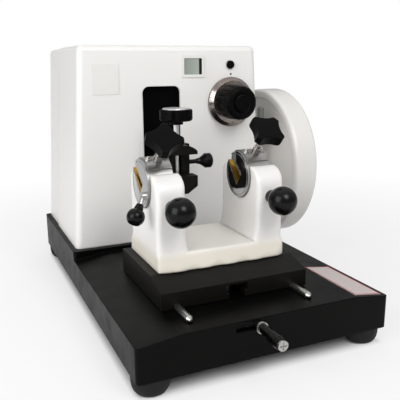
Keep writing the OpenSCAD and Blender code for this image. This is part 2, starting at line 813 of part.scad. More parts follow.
// Pawl arm that swings about the feed screw, with its nose in front of the teeth
module pawl_arm() {
  arm_y = ratchet_y + 6 + rest;
  color("#8c6f3a") in_frame() translate([guide_x, arm_y, ram_z]) rotate([-90, 0, 0]) difference() {
    union() {
      linear_extrude(6) {
        circle(11);
        rotate(-25) translate([0, -6]) square([46, 12]);
        rotate(-25) translate([46, 0]) circle(6);
      }
      rotate(-25) translate([32 + rest + 0.4, -3, -6]) cube([7, 6, 6.01]);
    }
    translate([0, 0, -8]) cylinder(r = screw_r + run, h = 20);
  }
}

// ---- specimen head ----

// Cross block of the universal joint, with two pins each way
module gimbal_block() {
  color(steel) in_frame() translate([guide_x, pin_y, ram_z]) {
    cube([2 * half_block, 2 * half_block - 4, 2 * half_block], center = true);
    translate([-ear_out - 0.6, 0, 0]) rod_x(pin_r, 2 * ear_out + 1.2);
    translate([0, 0, -ear_out - 0.6]) cylinder(r = pin_r, h = 2 * ear_out + 1.2);
  }
}

// Row of V grooves across a jaw's face
module serrations() {
  for (y = [jaw_y + 3:3:jaw_y + 15]) translate([0, y, 0]) rotate([45, 0, 0])
    cube([2 * jaw_half + 2 * eps, 1.2, 1.2], center = true);
}

// Fixed part of the specimen clamp: back with two columns, hooked upper jaw and rear fork
module clamp_body() {
  hook_r = 30;
  color(black_paint) in_frame() translate([guide_x, 0, 0]) difference() {
    union() {
      translate([-body_half, clamp_y, jaw_low]) cube([2 * body_half, clamp_back - clamp_y, anvil_top - jaw_low]);
      intersection() {
        translate([-jaw_half, jaw_y, anvil_z]) cube([2 * jaw_half, clamp_back - jaw_y, anvil_top - anvil_z]);
        translate([0, jaw_y - eps, anvil_top + 0.8 - hook_r]) rod_y(hook_r, clamp_back - jaw_y + 2 * eps);
      }
      for (s = [-1, 1]) translate([0, 0, ram_z + (s > 0 ? ear_in : -ear_out)]) {
        translate([0, pin_y, 0]) cylinder(r = fork_r, h = ear_out - ear_in);
        translate([-fork_r, clamp_back - eps, 0]) cube([2 * fork_r, pin_y - clamp_back + eps, ear_out - ear_in]);
      }
    }
    translate([0, pin_y, ram_z - ear_out - eps]) cylinder(r = pin_r + run, h = 2 * (ear_out + eps));
    // groove of the jaw's tongue, and the screw's bore
    translate([-groove / 2, clamp_y - eps, jaw_low + 6]) cube([groove, 8.5 + eps, anvil_z - jaw_low - 6]);
    translate([0, cscrew_y, jaw_low + 2]) cylinder(r = cscrew_r + run, h = 90);
    // thread of the side lock knob
    translate([groove / 2 + 3, clamp_y + 6, lock_knob_z]) rod_x(3 + run, 30);
    // serrations under the upper jaw
    translate([0, 0, anvil_z]) serrations();
  }
}

// Lower jaw, raised by the clamp screw
module clamp_jaw() {
  tongue = groove - 2 * rest;
  color(black_paint) in_frame() translate([guide_x, 0, 0]) difference() {
    union() {
      along_y(jaw_y, clamp_y - rest) polygon([
        [-jaw_half, jaw_top], [jaw_half, jaw_top], [jaw_half, jaw_top - 14], [jaw_half - 14, jaw_low],
        [14 - jaw_half, jaw_low], [-jaw_half, jaw_top - 14]
      ]);
      translate([-tongue / 2, clamp_y - rest - 1, jaw_low + 7]) cube([tongue, 9, jaw_top - jaw_low - 7]);
    }
    translate([0, cscrew_y, jaw_low - eps]) cylinder(r = cscrew_r + run, h = 60);
    translate([0, 0, jaw_top]) serrations();
  }
}

module clamp_screw() {
  color(steel) in_frame() translate([guide_x, cscrew_y, 0]) {
    translate([0, 0, jaw_low + 2.5]) cylinder(r = cscrew_r, h = star_z + star_h - jaw_low - 2.5 + 1.5);
    translate([0, 0, anvil_top + rest]) cylinder(r = cscrew_r + 2.5, h = 4);
    translate([0, 0, star_z + star_h]) cylinder(r1 = 18, r2 = 17, h = 1.5);
  }
}

module clamp_star() {
  color(black_plastic) in_frame() translate([guide_x, cscrew_y, star_z]) star(22, star_h, 8, 5.5, 24.5, cscrew_r + seat, star_h + eps);
}

// Mushroom knob that locks the clamp from the side
module clamp_lock_knob() {
  stem = body_half - groove / 2 - 4;
  color(black_plastic) in_frame() translate([guide_x + body_half, clamp_y + 6, lock_knob_z]) rotate([0, 90, 0]) {
    translate([0, 0, -stem]) cylinder(r = 3, h = stem + 18);
    rotate_extrude() translate([0, 13]) {
      polygon([[0, 0], [3.8, 0], [4.4, 4], [8.6, 10.5], [9.9, 12], [9.9, 19], [0, 19]]);
      intersection() {
        translate([0, 10]) circle(13.4);
        translate([0, 18.99]) square([9.9, 6]);
      }
    }
  }
}

// ---- knife holder ----

// Side outline of the slide block, with the slope at its nose
module slide_block() {
  color(black_paint) in_frame() difference() {
    along_x(guide_x - block_w / 2, guide_x + block_w / 2) polygon([
      [block_y, block_z], [block_y, block_z + block_nose_h], [block_y + block_ramp, block_top],
      [block_y + block_d, block_top], [block_y + block_d, block_z]
    ]);
    translate([guide_x - tneck_w / 2, block_y - eps, block_z - eps]) cube([tneck_w, block_d + 2 * eps, tneck_h + 2 * eps]);
    translate([guide_x - tslot_w / 2, block_y - eps, block_z + tneck_h]) cube([tslot_w, block_d + 2 * eps, thead_h]);
    // grooves that run on the rods
    for (s = [-1, 1]) translate([guide_x + s * rod_gap / 2, block_y - eps, rod_z])
      rod_y(rod_d / 2 + rest, block_d + 2 * eps);
  }
}

// Outline of a pillar in Y and Z, with the drum's seat cut out
module pillar_section() {
  difference() {
    union() {
      translate([face_y, block_top + apron_h - eps]) square([back_y - face_y, shoulder_z - block_top - apron_h + eps]);
      for (y = [face_y + shoulder_r, back_y - shoulder_r]) translate([y, shoulder_z]) circle(shoulder_r);
      translate([face_y + shoulder_r, shoulder_z - eps])
        square([back_y - face_y - 2 * shoulder_r, shoulder_r + eps]);
    }
    translate([drum_y, drum_z]) circle(drum_r + rest);
    translate([drum_y - 24.9, drum_z + 12.5]) square([49.8, 30]);
  }
}

module knife_casting() {
  waves = 5;
  color(white_paint) in_frame() difference() {
    union() {
      // apron with a sloping front and an uneven foot
      intersection() {
        along_y(cast_y - 2, cast_y + cast_d) polygon([
          [cast_x, block_top], [cast_x + cast_w, block_top],
          [cast_x + cast_w - pillar_in, block_top + apron_h], [cast_x + pillar_in, block_top + apron_h]
        ]);
        along_x(cast_x, cast_x + cast_w) polygon([
          [cast_y - 2, block_top], [cast_y - 1.4, block_top + 3], [face_y - 0.6, block_top + apron_h],
          [cast_y + cast_d - 2, block_top + apron_h], [cast_y + cast_d, block_top + apron_h - 3], [cast_y + cast_d, block_top]
        ]);
        translate([cast_x, 0, block_top]) linear_extrude(apron_h) polygon(concat(
          [[0, cast_y + cast_d], [0, cast_y + 4]],
          [for (i = [0:40]) let (t = i / 40)
            [t * cast_w, cast_y - 1 + 1.1 * sin(360 * waves * t) * sin(180 * t) + 5 * pow(abs(2 * t - 1), 12)]],
          [[cast_w, cast_y + 4], [cast_w, cast_y + cast_d]]
        ));
      }
      for (x = [left_x, right_x]) intersection() {
        along_x(x, x + pillar_w) pillar_section();
        translate([x + pillar_w / 2, (face_y + back_y) / 2, block_top])
          linear_extrude(drum_h + shoulder_r) rounded(pillar_w, back_y - face_y, 5);
      }
    }
    for (x = [left_x, right_x]) translate([x + pillar_w / 2, face_y - eps, drum_z - ball_drop])
      rod_y(4 + run, drum_y - face_y);
  }
}

// Moves to a drum's axis at the left face of a pillar; X stays along the axis
module at_drum(x) in_frame() translate([x, drum_y, drum_z]) children();

// Turns the slot's own directions into place: local Y runs out of the slot, local Z across it
module in_slot() rotate([90 - slot_lean, 0, 0]) children();

// Puts +Z on the stud's axis, with the drum's axis level with z = 0
module on_stud() rotate([stud_lean, 0, 0]) translate([stud_at - proud, stud_out, 0]) children();

// Section of the slot in its own directions
floor_in = -11;
floor_out = -3.4;
module slot_section() polygon([
  [-slot_deep, floor_in], [drum_r + 6, floor_out + 1], [drum_r + 6, plate_w0 + press_t + rest],
  [-slot_deep, plate_w0 + press_t + rest]
]);

// Drum with the knife slot, the stud's hole and two tapped holes
module drum() {
  difference() {
    translate([-proud, 0, 0]) rod_x(drum_r, drum_len);
    in_slot() translate([-proud - eps, 0, 0]) rotate([90, 0, 90]) linear_extrude(drum_len + 2 * eps) slot_section();
    on_stud() cylinder(r = stud_r + run, h = drum_r + eps);
    // fine groove round the face
    difference() {
      translate([-proud - eps, 0, 0]) rod_x(drum_r - 2.2, 1.6);
      translate([-proud - 2 * eps, 0, 0]) rod_x(drum_r - 3.2, 4);
    }
  }
}

// Brass knife rest in the bottom of the slot
module brass() {
  in_slot() translate([-proud + seat, 0, 0]) rotate([90, 0, 90]) linear_extrude(drum_len - 2 * seat) intersection() {
    polygon([
      [-slot_deep + seat, floor_in + 0.05], [drum_r + 4, floor_out + 0.9], [drum_r + 4, -2],
      [-slot_deep + seat, -2]
    ]);
    circle(drum_r - 0.4);
  }
}

// Steel saddle over the drum, with the domed heads of its two screws
module saddle() {
  t = 1.6;
  r0 = drum_r + seat;
  color(steel) {
    difference() {
      union() {
        translate([0.2, 0, 0]) rod_x(r0 + t, drum_len - proud - 0.4);
        // flat seat of the stud's nut
        on_stud() cylinder(r = 5.4, h = saddle_seat);
      }
      translate([-eps, 0, 0]) rod_x(r0, drum_len + 2 * eps);
      // keeps the part from 50 degrees in front of the top to 22 degrees behind it
      rotate([50, 0, 0]) translate([-eps, -2 * drum_r, -2 * drum_r]) cube([drum_len + 2 * eps, 2 * drum_r, 4 * drum_r]);
      rotate([-22, 0, 0]) translate([-eps, 0, -2 * drum_r]) cube([drum_len + 2 * eps, 2 * drum_r, 4 * drum_r]);
      translate([-eps, -2 * drum_r, -2 * drum_r]) cube([drum_len + 2 * eps, 4 * drum_r, 2 * drum_r]);
      on_stud() cylinder(r = stud_r + run, h = drum_r + 10);
    }
    for (x = [-10, 10]) rotate([20, 0, 0]) translate([stud_at - proud + x, 0, r0 + t - 0.3]) intersection() {
      translate([0, 0, -1.4]) sphere(r = 4.6);
      cylinder(r = 4.4, h = 6);
    }
  }
}

// Steel pressure plate in the slot
module plate() {
  color(steel) in_slot() translate([-proud + rest, 0, 0]) rotate([90, 0, 90])
    linear_extrude(drum_len - 2 * rest) polygon([
      [-slot_deep + rest, plate_w0], [22, plate_w0], [24, plate_w0 + 1.5], [24, plate_w0 + press_t], [-slot_deep + rest, plate_w0 + press_t]
    ]);
}

// Stud that presses the plate, with its nut on the saddle and its upper end in the knob
module stud(knob_at) {
  tip = 8.4;
  color(steel) on_stud() {
    translate([0, 0, tip]) cylinder(r = stud_r, h = knob_at + 7 - tip);
    translate([0, 0, saddle_seat + rest]) cylinder(r1 = 5.2, r2 = 4.6, h = 8);
  }
}

// Four-lobed knob on the stud, turned about its axis by the given angle
module star_knob(knob_at, turn) {
  color(black_plastic) on_stud() translate([0, 0, knob_at]) rotate([0, 0, turn])
    star(star_r, star_t, 4, 28.7, 42.9 + star_r - 21, stud_r + seat, 7.5);
}

module drum_left() { color("#8d9092") at_drum(left_x) drum(); }
module drum_right() { color("#8d9092") at_drum(right_x) drum(); }
module brass_left() { color("#b5892e") at_drum(left_x) brass(); }
module brass_right() { color("#b5892e") at_drum(right_x) brass(); }
module saddle_left() { at_drum(left_x) saddle(); }
module saddle_right() { at_drum(right_x) saddle(); }
module plate_left() { at_drum(left_x) plate(); }
module plate_right() { at_drum(right_x) plate(); }
module stud_left() { at_drum(left_x) stud(star_left_at); }
module stud_right() { at_drum(right_x) stud(star_right_at); }
module star_left() { at_drum(left_x) star_knob(star_left_at, 76); }
module star_right() { at_drum(right_x) star_knob(star_right_at, 39); }

// Lever on the left drum: from its boss on the drum's face out to its knob
tilt_root = [-proud - 4, -22, -10];
tilt_tip = [-19.5, -34, -29];
function tilt_axis() = tilt_tip - tilt_root;
module along_tilt(d) {
  v = tilt_axis();
  translate(tilt_root + d * v / norm(v)) rotate([0, acos(v[2] / norm(v)), atan2(v[1], v[0])]) children();
}

module tilt_lever() {
  color(steel) at_drum(left_x) {
    translate([-proud - 6, tilt_root[1], tilt_root[2]]) rod_x(4.5, 6);
    along_tilt(0) cylinder(r = 2.6, h = 17);
  }
}

module tilt_knob() {
  color(black_plastic) at_drum(left_x) along_tilt(11) difference() {
    union() {
      cylinder(r1 = 4, r2 = 5.4, h = 6);
      intersection() {
        translate([0, 0, 15]) sphere(r = 10);
        translate([0, 0, 5]) cylinder(r = 11, h = 17.5);
      }
    }
    translate([0, 0, -eps]) cylinder(r = 2.6 + seat, h = 6.01 + eps);
  }
}

// Ball knob with its collar and clamping screw
module ball_knob() {
  rotate([90, 0, 0]) {
    translate([0, 0, face_y - ball_y]) sphere(r = ball_r);
    translate([0, 0, rest]) cylinder(r1 = 7.5, r2 = 9, h = 12);
    translate([0, 0, -22]) cylinder(r = 4, h = 24);
  }
}
module ball_knob_left() {
  color(black_plastic) in_frame() translate([left_x + pillar_w / 2, face_y, drum_z - ball_drop]) ball_knob();
}
module ball_knob_right() {
  color(black_plastic) in_frame() translate([right_x + pillar_w / 2, face_y, drum_z - ball_drop]) ball_knob();
}

// ---- front clamping lever ----

module at_lever() in_frame() translate([guide_x, bolt_y, lever_z]) rotate([0, 0, -lever_turn]) children();
grip_from = bolt_y + lever_reach - grip_len;

module lever_arm() {
  color(steel) at_lever() {
    difference() {
      translate([0, 0, -3.8]) cylinder(r = 14, h = 7.6);
      translate([0, 0, -eps - 4]) cylinder(r = bolt_r + run, h = 12);
    }
    rotate([90, 0, 0]) translate([0, 0, 13]) cylinder(r = 3.4, h = bolt_y + lever_reach - 13);
    // collar at the grip, and the screw at its end
    rotate([90, 0, 0]) translate([0, 0, grip_from - 2.3]) cylinder(r = 6.4, h = 2.3);
    rotate([90, 0, 0]) translate([0, 0, bolt_y + lever_reach - 0.01]) difference() {
      cylinder(r = lever_cap_r, h = lever_cap + 0.01);
      for (a = [0, 90]) rotate([0, 0, a]) translate([-4, -0.6, lever_cap - 1.2]) cube([8, 1.2, 3]);
    }
  }
}

module lever_grip() {
  color(black_plastic) at_lever() rotate([90, 0, 0]) translate([0, 0, grip_from + 0.05]) difference() {
    rotate_extrude() polygon([
      [0, 0], [4.6, 0], [5.2, 2], [5.2, 17], [6.4, 19], [6.8, grip_len - 6], [6, grip_len - 0.1], [0, grip_len - 0.1]
    ]);
    translate([0, 0, -eps]) cylinder(r = 3.4 + seat, h = grip_len + 2 * eps);
  }
}

base_casting();
rubber_feet();
guide_rods();
t_bolt();
blank_card();
front_shell();
rear_cover();
cover_screws();
display_frame();
display_window();
control_board();
blank_badge();
machine_frame();
guide_columns();
shaft_bushes();
dial_ring();
dial_knob();
dial_cap();
dial_shaft();
push_button();
handwheel();
wheel_nut();
main_shaft();
crank_disc();
handle_stem();
handle_grip();
wheel_lock_lever();
carriage();
yoke_plate();
dust_shield();
ram();
feed_screw();
ratchet_wheel();
pawl_arm();
gimbal_block();
clamp_body();
clamp_jaw();
clamp_screw();
clamp_star();
clamp_lock_knob();
slide_block();
knife_casting();
drum_left();
brass_left();
saddle_left();
plate_left();
stud_left();
star_left();
tilt_lever();
tilt_knob();
drum_right();
brass_right();
saddle_right();
plate_right();
stud_right();
star_right();
ball_knob_left();
ball_knob_right();
lever_arm();
lever_grip();
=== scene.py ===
"""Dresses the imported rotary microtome: finishes on every piece, small fittings, floor, light and camera.

Sizes named *_mm are millimetres. Positions in millimetres are measured from the base casting's front left
corner on the bench, with X to the right, Y to the rear and Z up, and place() and to_frame() turn them into
the frame's metres.
"""

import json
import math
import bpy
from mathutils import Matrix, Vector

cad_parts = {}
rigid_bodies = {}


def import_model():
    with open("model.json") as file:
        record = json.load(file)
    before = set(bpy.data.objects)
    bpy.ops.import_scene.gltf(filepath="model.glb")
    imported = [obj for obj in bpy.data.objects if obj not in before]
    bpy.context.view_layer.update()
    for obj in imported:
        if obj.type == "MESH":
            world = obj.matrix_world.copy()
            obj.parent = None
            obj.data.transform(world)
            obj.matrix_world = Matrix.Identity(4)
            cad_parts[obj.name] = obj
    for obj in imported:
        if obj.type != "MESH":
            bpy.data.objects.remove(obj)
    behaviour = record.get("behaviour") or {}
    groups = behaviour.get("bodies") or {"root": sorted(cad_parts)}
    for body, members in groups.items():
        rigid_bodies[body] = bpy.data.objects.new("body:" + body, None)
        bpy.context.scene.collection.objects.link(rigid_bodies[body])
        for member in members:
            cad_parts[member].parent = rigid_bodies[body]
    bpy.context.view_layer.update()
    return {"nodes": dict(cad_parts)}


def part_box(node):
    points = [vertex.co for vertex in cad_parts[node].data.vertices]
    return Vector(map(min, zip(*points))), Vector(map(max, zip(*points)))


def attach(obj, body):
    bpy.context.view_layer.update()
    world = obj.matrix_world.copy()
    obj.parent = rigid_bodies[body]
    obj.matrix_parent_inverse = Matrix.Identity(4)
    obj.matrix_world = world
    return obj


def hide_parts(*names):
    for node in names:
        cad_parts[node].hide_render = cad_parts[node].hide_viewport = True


bl_info = {
    "name": "Rotary microtome",
    "version": (1, 0, 0),
    "blender": (4, 5, 0),
    "location": "View3D > Sidebar > Microtome",
    "description": "Finishes and small fittings of a bench rotary microtome",
    "category": "Object",
}

import bpy
import numpy as np
from bpy.props import FloatProperty, FloatVectorProperty, PointerProperty
from mathutils import Matrix, Vector

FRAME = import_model()
NODES = FRAME["nodes"]
MM = 0.001

# The datum corner: front left of the base casting, on the bench
DATUM = Vector((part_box("base_casting")[0].x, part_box("base_casting")[0].y, 0.0))


def place(x_mm, y_mm, z_mm):
    """A point given from the datum corner in millimetres, in the frame's metres."""
    return DATUM + Vector((x_mm, y_mm, z_mm)) * MM


def box_mm(node):
    """A node's low and high corners in millimetres from the datum corner."""
    low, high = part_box(node)
    return (low - DATUM) / MM, (high - DATUM) / MM


# ---------------------------------------------------------------- colours and nodes


def linear(hex_colour, alpha=1.0):
    """An sRGB hex colour such as "#e4e2df" as linear RGBA."""
    parts = [int(hex_colour[i : i + 2], 16) / 255 for i in (1, 3, 5)]
    return tuple(c / 12.92 if c <= 0.04045 else ((c + 0.055) / 1.055) ** 2.4 for c in parts) + (alpha,)


def add(tree, kind, values=None, links=None, **settings):
    """Adds a node: values and links are keyed by input name or number, settings are the node's own."""
    node = tree.nodes.new(kind)
    for key, value in settings.items():
        setattr(node, key, value)
    for key, value in (values or {}).items():
        node.inputs[key].default_value = value
    for key, socket in (links or {}).items():
        tree.links.new(socket, node.inputs[key])
    return node


def start(name, edge_mm, **surface):
    """An empty material with a Principled surface. Its normals run round each sharp edge in an arc of edge_mm.
    Gives back the material, its tree, the surface, the object's coordinates and those normals."""
    material = bpy.data.materials.new(name)
    material.use_nodes = True
    tree = material.node_tree
    tree.nodes.clear()
    output = add(tree, "ShaderNodeOutputMaterial")
    bsdf = add(tree, "ShaderNodeBsdfPrincipled")
    for key, value in surface.items():
        bsdf.inputs[key.replace("_", " ")].default_value = value
    tree.links.new(bsdf.outputs[0], output.inputs["Surface"])
    where = add(tree, "ShaderNodeTexCoord").outputs["Object"]
    edge = add(tree, "ShaderNodeBevel", {"Radius": edge_mm * MM}, samples=6).outputs[0]
    tree.links.new(edge, bsdf.inputs["Normal"])
    return material, tree, bsdf, where, edge


def grain(tree, where, size_mm, detail=2.0, stretch=(1, 1, 1)):
    """Noise with blotches about size_mm across; stretch makes them longer along an axis."""
    scaled = add(tree, "ShaderNodeMapping", {"Scale": tuple(1 / s for s in stretch)}, {"Vector": where})
    return add(
        tree, "ShaderNodeTexNoise", {"Scale": 1 / (size_mm * MM), "Detail": detail}, {"Vector": scaled.outputs[0]}
    ).outputs["Fac"]


def between(tree, factor, low, high, from_low=0.3, from_high=0.7):
    """Maps a factor from one range to another."""
    return add(
        tree,
        "ShaderNodeMapRange",
        {"From Min": from_low, "From Max": from_high, "To Min": low, "To Max": high},
        {"Value": factor},
    ).outputs[0]


def blend_colour(tree, factor, first, second):
    """Mixes two hex colours or colour sockets by a factor socket."""
    node = add(tree, "ShaderNodeMix", data_type="RGBA")
    tree.links.new(factor, node.inputs[0])
    for key, value in ((6, first), (7, second)):
        if isinstance(value, str):
            node.inputs[key].default_value = linear(value)
        else:
            tree.links.new(value, node.inputs[key])
    return node.outputs[2]


def bump(tree, bsdf, height, depth_mm, edge):
    """Raises the surface by depth_mm where height is 1, on top of the rounded edges."""
    node = add(tree, "ShaderNodeBump", {"Strength": 1.0, "Distance": depth_mm * MM}, {"Height": height, "Normal": edge})
    tree.links.new(node.outputs[0], bsdf.inputs["Normal"])


# ---------------------------------------------------------------- finishes


def black_stove_enamel():
    """Stove enamel on cast iron: deep black, half gloss, with a faint orange peel and a warmer bloom in places."""
    material, tree, bsdf, where, edge = start("black_stove_enamel", 2.2, Roughness=0.34, Specular_IOR_Level=0.08)
    bloom = grain(tree, where, 90, 3)
    tree.links.new(blend_colour(tree, bloom, "#040404", "#080807"), bsdf.inputs["Base Color"])
    tree.links.new(between(tree, grain(tree, where, 25, 3), 0.3, 0.42), bsdf.inputs["Roughness"])
    bump(tree, bsdf, grain(tree, where, 1.6, 1), 0.012, edge)
    return material


def black_blued_block():
    """Machined iron with a black oxide finish: satin, slightly brown, with faint milling lines along X."""
    material, tree, bsdf, where, edge = start("black_oxide_block", 1.0, Roughness=0.42, Specular_IOR_Level=0.12)
    cloud = grain(tree, where, 40, 3)
    tree.links.new(blend_colour(tree, cloud, "#0b0a09", "#12110e"), bsdf.inputs["Base Color"])
    lines = grain(tree, where, 0.9, 2, (30, 1, 1))
    tree.links.new(between(tree, lines, 0.36, 0.5), bsdf.inputs["Roughness"])
    bump(tree, bsdf, lines, 0.006, edge)
    return material


def white_housing_paint():
    """Sprayed epoxy paint on sheet: off-white half gloss with a fine orange peel."""
    material, tree, bsdf, where, edge = start("white_epoxy_paint", 2.5, Roughness=0.34, Specular_IOR_Level=0.4)
    tree.links.new(blend_colour(tree, grain(tree, where, 120, 2), "#e6e4e1", "#e9e8e6"), bsdf.inputs["Base Color"])
    tree.links.new(between(tree, grain(tree, where, 18, 2), 0.3, 0.38), bsdf.inputs["Roughness"])
    bump(tree, bsdf, grain(tree, where, 2.2, 1), 0.008, edge)
    return material


def white_casting_enamel():
    """Thick glossy enamel on a casting: white with a faint cream mottle, rounded at every edge."""
    material, tree, bsdf, where, edge = start("white_gloss_enamel", 3.5, Roughness=0.22, Specular_IOR_Level=0.5)
    tree.links.new(blend_colour(tree, grain(tree, where, 60, 2), "#dedcd8", "#e4e2de"), bsdf.inputs["Base Color"])
    bump(tree, bsdf, grain(tree, where, 6, 2), 0.04, edge)
    return material


def cream_tinted_enamel():
    """The same enamel, darker and warmer towards the casting's foot, turning white about the floor of the knife bay."""
    cream_below_mm, white_above_mm = 14, 24
    material, tree, bsdf, where, edge = start("cream_tinted_enamel", 3.5, Roughness=0.26, Specular_IOR_Level=0.45)
    height = add(tree, "ShaderNodeSeparateXYZ", links={"Vector": where}).outputs["Z"]
    foot = box_mm("knife_casting")[0].z * MM
    near_foot = between(tree, height, 1.0, 0.0, foot + cream_below_mm * MM, foot + white_above_mm * MM)
    cream = blend_colour(tree, grain(tree, where, 45, 2), "#ded8cb", "#e6e0d4")
    white = blend_colour(tree, grain(tree, where, 60, 2), "#eceae7", "#f1efed")
    # by height alone: darker and warmer towards the foot, white higher up
    tree.links.new(blend_colour(tree, near_foot, white, cream), bsdf.inputs["Base Color"])
    bump(tree, bsdf, grain(tree, where, 7, 2), 0.05, edge)
    return material


def ground_steel():
    """Ground steel: bright grey with fine scratches, half blurred reflections."""
    material, tree, bsdf, where, edge = start("ground_steel", 0.5, Metallic=1.0, Roughness=0.28)
    lines = grain(tree, where, 0.35, 2, (1, 12, 1))
    tree.links.new(blend_colour(tree, lines, "#a9a8a5", "#c9c8c5"), bsdf.inputs["Base Color"])
    tree.links.new(between(tree, lines, 0.2, 0.36), bsdf.inputs["Roughness"])
    bump(tree, bsdf, lines, 0.004, edge)
    return material


def brushed_steel():
    """Brushed steel sheet: grain along X, broad soft reflections and darker smudges."""
    material, tree, bsdf, where, edge = start("brushed_steel", 0.4, Metallic=1.0, Roughness=0.38)
    lines = grain(tree, where, 0.5, 3, (18, 1, 1))
    smudge = grain(tree, where, 9, 3)
    fine = blend_colour(tree, lines, "#9c9b98", "#c2c1be")
    tree.links.new(blend_colour(tree, between(tree, smudge, 0, 0.5), fine, "#77767a"), bsdf.inputs["Base Color"])
    tree.links.new(between(tree, lines, 0.28, 0.46), bsdf.inputs["Roughness"])
    bump(tree, bsdf, lines, 0.006, edge)
    return material


def mirror_steel():
    """Plated steel: a mirror, mottled from a warm to a cool grey."""
    material, tree, bsdf, where, _ = start("bright_chrome", 0.5, Metallic=1.0, Roughness=0.06)
    tree.links.new(blend_colour(tree, grain(tree, where, 14, 3), "#a3958b", "#c4c5c6"), bsdf.inputs["Base Color"])
    tree.links.new(between(tree, grain(tree, where, 5, 2), 0.07, 0.14), bsdf.inputs["Roughness"])
    return material


def satin_chrome():
    """Plated ring behind the dial's knob, finely turned before plating, so its reflections are soft. The brown in its
    mottled base colour is a painted reflection of warm surroundings.
    """
    material, tree, bsdf, where, _ = start("satin_chrome", 0.5, Metallic=1.0, Roughness=0.2)
    # the brown patches (#857066) are a painted reflection of warm surroundings, not the plating's colour
    tree.links.new(blend_colour(tree, grain(tree, where, 14, 3), "#857066", "#a9a5a2"), bsdf.inputs["Base Color"])
    tree.links.new(between(tree, grain(tree, where, 5, 2), 0.16, 0.26), bsdf.inputs["Roughness"])
    return material


def drum_steel():
    """A drum with lapped faces, which mirror, and a brushed rim. The faces are where the normal runs along X."""
    material, tree, bsdf, where, _ = start("lapped_steel", 0.4, Metallic=1.0, Roughness=0.08)
    normal = add(tree, "ShaderNodeNewGeometry").outputs["True Normal"]
    along = add(tree, "ShaderNodeSeparateXYZ", links={"Vector": normal}).outputs["X"]
    size = add(tree, "ShaderNodeMath", links={0: along}, operation="ABSOLUTE").outputs[0]
    face = between(tree, size, 0, 1, 0.8, 0.9)
    lines = grain(tree, where, 0.5, 3, (18, 1, 1))
    rim = blend_colour(tree, lines, "#8f8e8b", "#b4b3b0")
    tree.links.new(blend_colour(tree, face, rim, "#c2c4c5"), bsdf.inputs["Base Color"])
    rough = add(tree, "ShaderNodeMix", {2: 0.36, 3: 0.07}, {0: face}).outputs[0]
    tree.links.new(rough, bsdf.inputs["Roughness"])
    return material


def bright_turned():
    """Turned and plated steel: pale, with a fine unevenness that spreads its reflections."""
    material, tree, bsdf, where, edge = start("bright_turned_steel", 0.5, Metallic=1.0, Roughness=0.4)
    tree.links.new(blend_colour(tree, grain(tree, where, 1.6, 3), "#b4b5b6", "#ececeb"), bsdf.inputs["Base Color"])
    bump(tree, bsdf, grain(tree, where, 1.1, 2), 0.03, edge)
    return material


def dark_steel():
    """Blued steel: dark grey-blue metal, slightly mottled."""
    material, tree, bsdf, where, _ = start("blued_steel", 0.6, Metallic=1.0, Roughness=0.35)
    tree.links.new(blend_colour(tree, grain(tree, where, 12, 3), "#2b2d31", "#3c3e42"), bsdf.inputs["Base Color"])
    return material


def machined_brass():
    """Machined brass: yellow gold with an olive shade where it has tarnished, and fine feed lines."""
    material, tree, bsdf, where, _ = start("machined_brass", 0.3, Metallic=1.0, Roughness=0.32)
    lines = grain(tree, where, 0.4, 2, (1, 10, 10))
    bright = blend_colour(tree, lines, "#c79a2e", "#b98d2c")
    tree.links.new(blend_colour(tree, grain(tree, where, 8, 2), bright, "#8f7424"), bsdf.inputs["Base Color"])
    tree.links.new(between(tree, lines, 0.26, 0.4), bsdf.inputs["Roughness"])
    return material


def phenolic(name, roughness, level):
    """Moulded phenolic: black with a fine moulding texture; level is how strongly it mirrors."""
    material, tree, bsdf, where, edge = start(name, 0.9, Roughness=roughness, Specular_IOR_Level=level)
    tree.links.new(blend_colour(tree, grain(tree, where, 12, 2), "#030303", "#070707"), bsdf.inputs["Base Color"])
    texture = grain(tree, where, 6, 3)
    tree.links.new(between(tree, texture, roughness - 0.04, roughness + 0.05), bsdf.inputs["Roughness"])
    bump(tree, bsdf, grain(tree, where, 2.5, 1), 0.002, edge)
    return material


def polished_phenolic():
    """Ball knobs and grips, turned and polished after moulding."""
    return phenolic("polished_phenolic", 0.24, 0.2)


def black_phenolic():
    """Lobed knobs, the dial's knob and the push button, as they come from the mould."""
    return phenolic("black_phenolic", 0.4, 0.06)


def matt_black_paint():
    """Near-black matt surface on the sheet that hides the inside of the housing: painted shade, a dark sheet standing
    in for the shadowed inside seen through the slot.
    """
    material, tree, bsdf, where, _ = start("matt_black_paint", 0.5, Roughness=0.8, Specular_IOR_Level=0.05)
    # near-black sheet: painted shade in place of the dark inside of the housing
    tree.links.new(blend_colour(tree, grain(tree, where, 8, 2), "#020202", "#040404"), bsdf.inputs["Base Color"])
    return material


def moulded_rubber():
    """Moulded rubber: black and dull, with a dusty bloom."""
    material, tree, bsdf, where, edge = start("moulded_rubber", 1.5, Roughness=0.62, Specular_IOR_Level=0.3)
    tree.links.new(blend_colour(tree, grain(tree, where, 7, 3), "#0b0b0b", "#151514"), bsdf.inputs["Base Color"])
    bump(tree, bsdf, grain(tree, where, 1.2, 2), 0.02, edge)
    return material


def grey_primer():
    """Sprayed primer on a rough casting: dark grey, pebbled."""
    material, tree, bsdf, where, edge = start("grey_casting_primer", 1.5, Roughness=0.6)
    tree.links.new(blend_colour(tree, grain(tree, where, 5, 3), "#3c4043", "#484c50"), bsdf.inputs["Base Color"])
    bump(tree, bsdf, grain(tree, where, 2, 3), 0.08, edge)
    return material


def hammered_grey():
    """Hammered grey enamel on the wheel lock: olive grey with pale specks."""
    material, tree, bsdf, where, edge = start("hammered_grey_enamel", 0.8, Roughness=0.4)
    tree.links.new(blend_colour(tree, grain(tree, where, 2, 3), "#5d5f5c", "#7f817d"), bsdf.inputs["Base Color"])
    bump(tree, bsdf, grain(tree, where, 2.5, 1), 0.05, edge)
    return material


